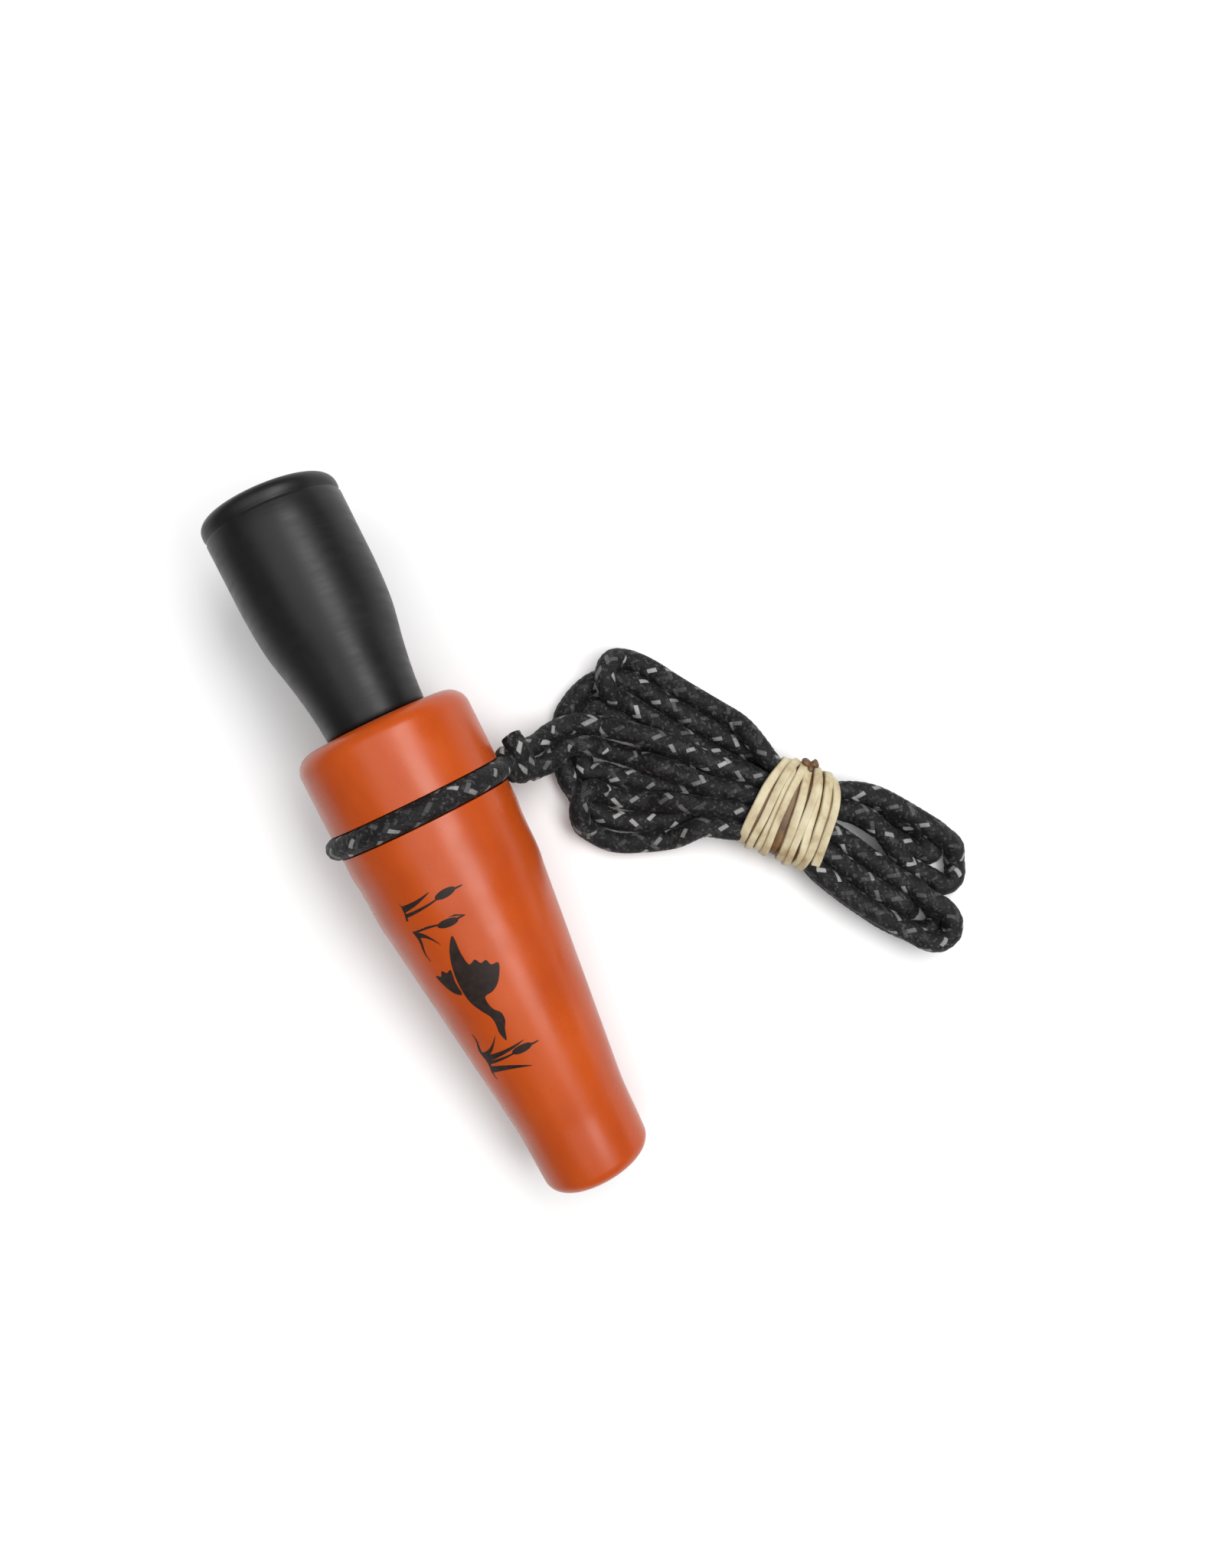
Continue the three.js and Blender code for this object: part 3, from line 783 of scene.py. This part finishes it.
RELAX_STEP = 1.3  # mm between the points that settle
RELAX_ROUNDS = 260
SINK = 0.03  # mm that the cord falls in a round
HOMING = 0.04  # share of its way back to its route, in plan
STRAIGHTENING = 0.10  # share of a kink taken out
CONTACT = 0.985  # cord diameters between strands that touch
OVERSHOOT = 1.4  # strands that overlap are parted by this times what they need
OWN_REACH = 2.2  # cord diameters along the cord within which it doesn't push itself
BAND_REACH = 8.0  # mm from the hank's middle to where the band's hold fades
PINCH_REACH = 7.5  # the same for its pinch on each strand


def lanyard_route():
    """The whole lanyard as one line of row points, from the knot and back to it."""
    places = list(LEAD_IN)
    for fold, column, height in HANK_ROUTE:
        rightwards = fold[0][0] > 0
        for a in (-5.0, 0.0, 5.0) if rightwards else (5.0, 0.0, -5.0):
            places.append((a, column * BAND_COLUMN, height))
        places += fold
    return np.array(LEAD_A + [tuple(from_hank(*p)) for p in places] + LEAD_B[::-1], float)


def along_hank(points):
    """How far along the hank row points are."""
    c, s = math.cos(HANK_TURN), math.sin(HANK_TURN)
    return (points[:, 0] - HANK_AT.x) * c + (points[:, 1] - HANK_AT.y) * s


def settle(route):
    """Lets the cord's folds push each other apart and lie down, keeping near their route."""
    line = evenly(catmull_rom(route, 0.5), RELAX_STEP)
    home, count = line.copy(), len(line)
    rest = np.linalg.norm(np.diff(line, axis=0), axis=1).mean()
    apart = np.abs(np.subtract.outer(np.arange(count), np.arange(count)))
    far_enough = apart > int(OWN_REACH * CORD_DIAMETER / RELAX_STEP)
    for _ in range(RELAX_ROUNDS):
        banded = np.exp(-((along_hank(line) / BAND_REACH) ** 4))
        line[:, 2] -= SINK
        line[:, :2] += (home[:, :2] - line[:, :2]) * HOMING
        line[1:-1] += STRAIGHTENING * ((line[:-2] + line[2:]) / 2 - line[1:-1])
        for start in (0, 1, 0, 1):
            p, q = line[start:-1:2], line[start + 1 :: 2]
            step = q - p
            size = np.linalg.norm(step, axis=1)[:, None]
            move = 0.5 * (size - rest) / size * step
            line[start:-1:2] += move
            line[start + 1 :: 2] -= move
        gap = line[:, None, :] - line[None, :, :]
        dist = np.linalg.norm(gap, axis=2)
        width = CORD_DIAMETER * (CONTACT - BAND_SQUEEZE * banded)
        least = (width[:, None] + width[None, :]) / 2
        short = np.where(far_enough & (dist < least), least - dist, 0)
        unit = gap / np.maximum(dist, 1e-6)[:, :, None]
        touching = np.maximum((short > 0).sum(axis=1), 1)
        line += 0.5 * (unit * short[:, :, None]).sum(axis=1) / touching[:, None] * OVERSHOOT
        floor = CORD_RADIUS + (BAND_LOW - CORD_RADIUS) * banded
        line[:, 2] = np.maximum(line[:, 2], floor)
        line[:4] = home[:4]
        line[-4:] = home[-4:]
    return line


def band_squeeze(line):
    """Share of its width that the cord keeps where the band pinches it."""
    return 1 - BAND_SQUEEZE * np.exp(-((along_hank(line) / PINCH_REACH) ** 4))


def make_lanyard():
    """The cord from the knot through the hank and back, and its line."""
    line = catmull_rom(settle(lanyard_route()), RING_STEP)
    cord, line = braid_tube("lanyard_cord", line, band_squeeze)
    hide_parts("lanyard_hank", "lanyard_lead_a", "lanyard_lead_b")
    return cord, line


def knot_point(distance, along, tangential):
    """Row point near the knot: distance from the call's axis, along the call, and round it."""
    across = distance * math.cos(KNOT_DROP) + tangential * math.sin(KNOT_DROP)
    up = -distance * math.sin(KNOT_DROP) + tangential * math.cos(KNOT_DROP)
    return from_call(LOOP_AT + KNOT_SLIP + along, across, up)


def make_loop():
    """The cord in the barrel's groove; its two ends leave the groove at a tangent for the knot."""
    leave = math.radians(30)  # from the knot to where the cord leaves the groove
    inside = math.radians(5)  # from the knot's middle to the cord's end inside it
    route, steps = [], 120
    for i in range(steps + 1):
        offset = inside + (2 * math.pi - 2 * inside) * i / steps
        near = min(offset, 2 * math.pi - offset)
        angle = offset - KNOT_DROP
        loose = LOOP_SAG * ((1 - math.cos(angle)) / 2) ** 4
        radius = LOOP_RADIUS / math.cos(max(0.0, leave - near)) + loose
        route.append(from_call(LOOP_AT, radius * math.cos(angle), radius * math.sin(angle)))
    loop, _ = braid_tube("lanyard_loop_cord", np.array(route))
    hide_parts("lanyard_loop")
    return loop


def make_knot():
    """Slip knot of nearly two and a half tight wraps, and the cord's cut end sticking out of it."""
    wraps, coil, steps = 2.4, 2.05, 90
    first, last = KNOT_INNER + 1.7, KNOT_OUTER - 1.9
    route = []
    for i in range(steps + 1):
        share = i / steps
        turn = 2 * math.pi * wraps * share + 0.6
        distance = first + (last - first) * share + 0.5 * math.cos(turn + 0.8)
        route.append(knot_point(distance, coil * math.cos(turn), coil * math.sin(turn)))
    wrap, _ = braid_tube("lanyard_knot_wraps", np.array(route))
    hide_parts("lanyard_knot")
    cut_end = [(19.2, 1.5, 1.0), (20.0, -1.0, 2.6), (20.3, -3.0, 2.4), (20.3, -4.9, 1.8)]
    tail_route = np.array([tuple(knot_point(*p)) for p in cut_end])
    tail, _ = braid_tube("lanyard_cut_end", catmull_rom(tail_route, 0.3))
    return wrap, tail


# ------------------------ rubber band

BAND_HALF_WIDTH = 8.7
BAND_MIDDLE = 4.55  # height of the wound band's middle
BAND_HALF_HEIGHT = 3.95
BAND_SQUARENESS = 0.72  # under 1, the wound band is squarer than an ellipse
STRIP_WIDTH = 1.6
STRIP_THICKNESS = 0.8
STRIP_CORNER = 0.3
STRIP_WOBBLE = 0.16  # how far a turn wanders sideways
STRIP_LEAN = 0.28  # radians that it tips to either side
STRIP_STRETCH = 0.14  # share by which its width changes
TURN_STEPS = 72
# Each turn of the band over the hank: where it crosses the upper edge, the lower edge, how far it
# bows sideways between them, and how far it is lifted by the turns below it.
BAND_TURNS = [
    (-4.4, -6.6, -1.0, 0.0),
    (-2.5, -4.6, -1.2, 0.5),
    (-3.5, -3.3, 0.3, 0.1),
    (-1.3, -2.0, -0.5, 0.55),
    (-0.2, 1.6, -0.2, 0.3),
    (1.4, 2.6, 0.2, 0.75),
    (0.9, 4.2, 1.0, 0.2),
    (3.4, 5.4, 0.7, 0.55),
    (4.6, 7.3, 1.1, 0.0),
]
INNER_TURNS = [  # turns below, laid the same way
    (-3.9, -5.6, -1.1, -0.35),
    (-2.8, -4.0, -0.7, -0.4),
    (-1.4, -2.8, -0.3, -0.35),
    (-0.7, -1.0, 0.0, -0.4),
    (0.4, 0.6, 0.1, -0.35),
    (1.2, 2.2, 0.3, -0.4),
    (2.5, 3.6, 0.6, -0.35),
    (3.6, 4.9, 0.9, -0.4),
    (4.2, 6.3, 1.0, -0.35),
]


def around_hank(turn, a, lift):
    """Point of the band, and the direction out of the hank there; turn 0 is the upper edge."""
    c, s = math.cos(turn), math.sin(turn)
    b = math.copysign(abs(c) ** BAND_SQUARENESS, c)
    h = math.copysign(abs(s) ** BAND_SQUARENESS, s)
    out = Vector((0, c / BAND_HALF_WIDTH, s / BAND_HALF_HEIGHT)).normalized()
    place = Vector((a, b * BAND_HALF_WIDTH, BAND_MIDDLE + h * BAND_HALF_HEIGHT)) + out * lift
    return place, out


def strip_section():
    """Round-cornered section of the rubber strip, as (across, out) points."""
    section = []
    for k, (x, y) in enumerate([(1, 1), (-1, 1), (-1, -1), (1, -1)]):
        across, out = x * (STRIP_WIDTH / 2 - STRIP_CORNER), y * (STRIP_THICKNESS / 2 - STRIP_CORNER)
        section += arc(across, out, STRIP_CORNER, 90 * k, 90 * (k + 1), 3)
    return section


def wound_strip(name, turns, material):
    """Rubber strip wound round the hank, turn after turn, and back to its start."""
    places, outs, leans, widths = [], [], [], []
    for number, (top, bottom, bow, lift) in enumerate(turns):
        next_top, _, _, next_lift = turns[(number + 1) % len(turns)]
        for i in range(TURN_STEPS):
            turn = 2 * math.pi * i / TURN_STEPS
            share = (1 - math.cos(turn)) / 2
            start, raised = (top, lift) if turn < math.pi else (next_top, next_lift)
            a = start + (bottom - start) * share + bow * math.sin(turn) * (turn < math.pi)
            a += STRIP_WOBBLE * math.sin(3 * turn + 2.1 * number)
            stack = (lift + (raised - lift) * (1 - share)) * (1 + min(0.0, math.sin(turn)))
            place, out = around_hank(turn, a, stack)
            places.append(place)
            outs.append(out)
            leans.append(STRIP_LEAN * math.sin(2 * turn + 1.7 * number))
            widths.append(1 + STRIP_STRETCH * math.sin(turn + 2.9 * number) * math.sin(turn / 2))
    section, count = strip_section(), len(places)
    points = []
    for i in range(count):
        ahead = places[(i + 1) % count] - places[i - 1]
        side = ahead.cross(outs[i]).normalized()
        out = side.cross(ahead).normalized()
        c, s = math.cos(leans[i]), math.sin(leans[i])
        for x, y in section:
            p = places[i] + side * (widths[i] * x * c - y * s) + out * (widths[i] * x * s + y * c)
            points.append(from_hank(p.x, p.y, p.z))
    faces = ring_quads(count, len(section), closed=True)
    strip = mesh_object(name, points, faces, material, "barrel_body")
    return strip


def make_band():
    """The band's outer turns, the ones below them darkened with painted shade, and its knot."""
    outer = wound_strip("hank_band_turns", BAND_TURNS, BAND_TAN)
    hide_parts("hank_band")
    pieces = [outer]
    for number, turn in enumerate(INNER_TURNS):
        # The turns below are drawn in the darker rubber, as painted shade.
        pieces.append(wound_strip(f"hank_band_inner_{number + 1}", [turn], KNOT_AND_SHADED_RUBBER))
    return pieces + [make_band_knot()]


def make_band_knot():
    """Small overhand knot of the rubber at the band's upper edge, with its short ends."""
    size, thread, steps = 0.6, 0.62, 70
    middle = Vector((-0.4, BAND_HALF_WIDTH + 0.45, 6.6))
    route = []
    for i in range(steps):
        t = 2 * math.pi * i / steps
        route.append((
            middle.x + size * (math.sin(t) + 1.1 * math.sin(2 * t)),
            middle.y + size * 0.8 * (math.cos(t) - 1.1 * math.cos(2 * t)),
            middle.z - size * math.sin(3 * t),
        ))
    points, faces = tube_mesh(route, thread, 12, closed=True)
    for end in ((-1.3, 0.5, -0.2), (1.0, 1.3, -0.5), (0.3, -1.6, 0.5)):
        tip = middle + Vector(end)
        tail = [tuple(middle), tuple((middle + tip) / 2), tuple(tip)]
        more, more_faces = tube_mesh(tail, 0.55, 10)
        faces += [tuple(v + len(points) for v in face) for face in more_faces]
        points += more
    points = [from_hank(*p) for p in points]
    knot = mesh_object("hank_band_knot", points, faces, KNOT_AND_SHADED_RUBBER, "barrel_body")
    return knot


def tube_mesh(route, radius, sides, closed=False):
    """Points and faces of a round tube along a short route."""
    line = np.array(route + route[:1] if closed else route, float)
    points = []
    for centre, n, b in zip(line, *frames_along(line)):
        for k in range(sides):
            t = 2 * math.pi * k / sides
            points.append(tuple(centre + radius * (n * math.cos(t) + b * math.sin(t))))
    ends = [tuple(range(sides - 1, -1, -1)), tuple(range(len(points) - sides, len(points)))]
    return points, ring_quads(len(line), sides) + ends


# ------------------------ printed ornament

PRINT_AT = (89.0, -3.4)  # middle of the ornament: along the call, and round it from the top line
PRINT_THICKNESS = 0.05
PRINT_SINK = 0.02  # how far the ink's underside lies in the plastic
# A duck flying over cattails. Outlines run round each shape, in mm from the ornament's middle:
# along the call towards its mouth, and round the call.
DUCK_BODY = [
    (11.2, 0.7), (9.1, 1.5), (7.8, 2.2), (6.3, 2.2), (5.2, 1.3), (3.7, 0.9), (2.6, 1.1),
    (2.3, 2.6), (1.2, 4.2), (-1.8, 5.7), (-2.0, 4.5), (-3.1, 4.1), (-3.0, 3.1), (-4.0, 2.5),
    (-3.6, 1.3), (-5.7, 0.9), (-9.3, 1.0), (-7.6, -0.4), (-4.7, -1.6), (-1.0, -2.2), (2.5, -1.9),
    (4.7, -0.8), (6.3, 0.2), (7.8, 0.4), (9.5, 0.2),
]
DUCK_FAR_WING = [
    (0.8, -2.6), (0.3, -3.7), (-1.3, -4.9), (-3.8, -5.7), (-3.4, -4.7), (-4.3, -4.0), (-3.7, -3.2),
    (-4.0, -2.3), (-1.6, -2.6),
]
CATTAILS = [  # foot, lean, height of the head's middle
    (-15.4, -0.9, 3.3),
    (-12.4, 0.8, 1.4),
    (14.2, -0.5, 2.4),
]
BLADES = [  # foot, tip across, tip up, width
    (-16.6, -17.6, 1.0, 1.15),
    (-13.9, -11.6, 4.6, 1.2),
    (-11.6, -8.7, -1.6, 1.1),
    (12.6, 9.8, -0.8, 1.1),
    (13.3, 12.4, 3.4, 1.1),
    (15.6, 17.2, 2.6, 1.2),
]
GROUND = -5.0  # height of the leaves' and stems' feet
STEM_WIDTH = 0.6
HEAD_SIZE = (0.72, 1.9)  # half the width and height of a cattail's head
SPIKE = [(-0.2, 1.7), (0.2, 1.7), (0.1, 3.1), (-0.1, 3.1)]  # from the head's middle
WATER_LINES = [(-17.8, -6.6, -5.1, 0.6), (8.2, 17.6, -5.1, 0.6)]  # start, end, height, width


def smooth_outline(points, step=0.35):
    """Closed smooth outline through the given points."""
    ring = np.array([(x, y, 0.0) for x, y in points + points[:3]], float)
    fine = catmull_rom(ring, step)
    start = int(np.argmin(np.linalg.norm(fine - ring[1], axis=1)))
    later = start + 5
    end = later + int(np.argmin(np.linalg.norm(fine[later:] - ring[1], axis=1)))
    return [(float(p[0]), float(p[1])) for p in fine[start:end]]


def blade_outline(foot, tip, up, width):
    """Long leaf from the ground line, bowed and narrowing to its tip."""
    left, right = [], []
    for i in range(9):
        t = i / 8
        x = foot + (tip - foot) * t * t
        y = GROUND + (up - GROUND) * t
        half = width / 2 * (1 - t) ** 0.8 + 0.04
        left.append((x - half, y))
        right.append((x + half, y))
    return right + left[::-1]


def cattail_outlines(foot, lean, height):
    """Stem, head and spike of one cattail."""
    top = foot + lean
    stem = blade_outline(foot, top, height, STEM_WIDTH)
    c, s = math.cos(-0.08 * lean), math.sin(-0.08 * lean)
    head = []
    for i in range(20):
        t = 2 * math.pi * i / 20
        x, y = HEAD_SIZE[0] * math.cos(t), HEAD_SIZE[1] * math.sin(t)
        head.append((top + x * c - y * s, height + x * s + y * c))
    spike = [(top + x, height + y) for x, y in SPIKE]
    return [stem, head, spike]


def water_outline(start, end, y, width):
    """Ripple with pointed ends."""
    upper, lower = [], []
    for i in range(17):
        t = i / 16
        x = start + (end - start) * t
        wave = 0.25 * math.sin(4 * math.pi * t)
        half = width / 2 * math.sin(math.pi * min(max(t, 0.04), 0.96))
        upper.append((x, y + wave + half))
        lower.append((x, y + wave - half))
    return lower + upper[::-1]


def ornament_outlines():
    """Every shape of the ornament."""
    outlines = [smooth_outline(DUCK_BODY), smooth_outline(DUCK_FAR_WING)]
    outlines += [blade_outline(*blade) for blade in BLADES]
    for cattail in CATTAILS:
        outlines += cattail_outlines(*cattail)
    return outlines + [water_outline(*line) for line in WATER_LINES]


def make_print():
    """Lays the ornament on the taper as a thin film of ink."""
    flat = bmesh.new()
    for outline in ornament_outlines():
        flat.faces.new([flat.verts.new((x, y, 0)) for x, y in outline])
    bmesh.ops.recalc_face_normals(flat, faces=flat.faces)
    bmesh.ops.triangulate(flat, faces=flat.faces)
    # Cuts round and along the ornament, so that its flat faces can bend.
    for axis, step, reach in ((1, 0.8, 9), (0, 3.0, 18)):
        at = -reach
        while at < reach:
            place, normal = Vector((0, 0, 0)), Vector((0, 0, 0))
            place[axis], normal[axis] = at, 1
            everything = flat.verts[:] + flat.edges[:] + flat.faces[:]
            bmesh.ops.bisect_plane(flat, geom=everything, plane_co=place, plane_no=normal)
            at += step
    points, faces = [], []
    for height in (PRINT_THICKNESS, -PRINT_SINK):
        for vertex in flat.verts:
            u = PRINT_AT[0] + vertex.co.x
            radius = barrel_radius(u)
            turn = (PRINT_AT[1] + vertex.co.y) / radius
            r = radius + height
            points.append(from_call(u, r * math.sin(turn), r * math.cos(turn)))
    flat.verts.index_update()
    count = len(flat.verts)
    for face in flat.faces:
        ring = [v.index for v in face.verts]
        if face.normal.z < 0:
            ring.reverse()
        faces.append(tuple(ring))
        faces.append(tuple(count + v for v in reversed(ring)))
    for edge in flat.edges:
        if edge.is_boundary:
            a, b = (v.index for v in edge.verts)
            faces.append((a, b, count + b, count + a))
    flat.free()
    film = mesh_object("barrel_print", points, faces, INK, "barrel_body", smooth=False)
    fix = bmesh.new()
    fix.from_mesh(film.data)
    bmesh.ops.recalc_face_normals(fix, faces=fix.faces)
    fix.to_mesh(film.data)
    fix.free()


# ------------------------ pieces that keep the CAD's shape

BOARD_EDGE = 0.12  # rounding of the tone board's edges
WEDGE_EDGE = 0.1


def dress_reeds():
    """The reeds' shapes are right as they are; they only get their film."""
    for name in ("reed_long", "reed_short"):
        for slot in frame["nodes"][name].material_slots:
            slot.material = REED_FILM


def soften(node_name, material, edge):
    """Stands in for a CAD part: the same shape with eased edges and smooth round faces."""
    shape = bmesh.new()
    shape.from_mesh(frame["nodes"][node_name].data)
    shape.transform(frame["nodes"][node_name].matrix_world)
    bmesh.ops.scale(shape, vec=(1 / MM, 1 / MM, 1 / MM), verts=shape.verts)
    bmesh.ops.remove_doubles(shape, verts=shape.verts, dist=0.001)
    flat = math.radians(1)
    bmesh.ops.dissolve_limit(shape, angle_limit=flat, verts=shape.verts, edges=shape.edges)
    sharp = [e for e in shape.edges if e.is_manifold and e.calc_face_angle() > SHARP_ANGLE]
    bmesh.ops.bevel(
        shape, geom=sharp, offset=edge, segments=2, profile=0.5, affect="EDGES", clamp_overlap=True
    )
    shape.verts.index_update()
    points = [v.co.copy() for v in shape.verts]
    faces = [[v.index for v in face.verts] for face in shape.faces]
    shape.free()
    made = mesh_object(node_name + "_eased", points, faces, material, "insert_body")
    made.data.set_sharp_from_angle(angle=CREASE_ANGLE)
    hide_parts(node_name)


# ------------------------ making the pieces

make_barrel()
make_insert()
make_rings()
make_print()
dress_reeds()
soften("tone_board", BOARD_BLACK, BOARD_EDGE)
soften("wedge_block", CORK, WEDGE_EDGE)
band = make_band()
cord, cord_line = make_lanyard()
loop = make_loop()
wrap, tail = make_knot()

# ------------------------ floor and lights, in metres

FLOOR_REACH = 1.2
WORLD_STRENGTH = 0.26
LIGHTS_AIM = Vector((0, 0.03, 0))
LIGHTS = {  # place, width and height, watts
    "key": ((0.02, 0.34, 0.60), (0.9, 0.26), 3.9),
    "fill": ((0.0, 0.12, 0.80), (1.2, 1.2), 7.2),
}


def make_stage():
    """Wide floor under the object."""
    mesh = bpy.data.meshes.new("floor")
    reach = FLOOR_REACH
    corners = [(-reach, -reach, 0), (reach, -reach, 0), (reach, reach, 0), (-reach, reach, 0)]
    mesh.from_pydata(corners, [], [(0, 1, 2, 3)])
    mesh.materials.append(floor_material())
    floor = bpy.data.objects.new("floor", mesh)
    bpy.context.scene.collection.objects.link(floor)


def area_light(name, place, size, power):
    """Rectangular light that faces the object."""
    data = bpy.data.lights.new(name, "AREA")
    data.shape = "RECTANGLE"
    data.size, data.size_y = size
    data.energy = power
    light = bpy.data.objects.new(name, data)
    light.location = place
    light.rotation_euler = (LIGHTS_AIM - Vector(place)).to_track_quat("-Z", "Y").to_euler()
    bpy.context.scene.collection.objects.link(light)


def make_lights():
    """White surroundings with two soft lights above."""
    world = bpy.data.worlds.new("world")
    world.use_nodes = True
    background = world.node_tree.nodes["Background"]
    background.inputs["Color"].default_value = (1, 1, 1, 1)
    background.inputs["Strength"].default_value = WORLD_STRENGTH
    bpy.context.scene.world = world
    for name, settings in LIGHTS.items():
        area_light(name, *settings)


make_stage()
make_lights()
bpy.context.scene.view_settings.view_transform = "Standard"
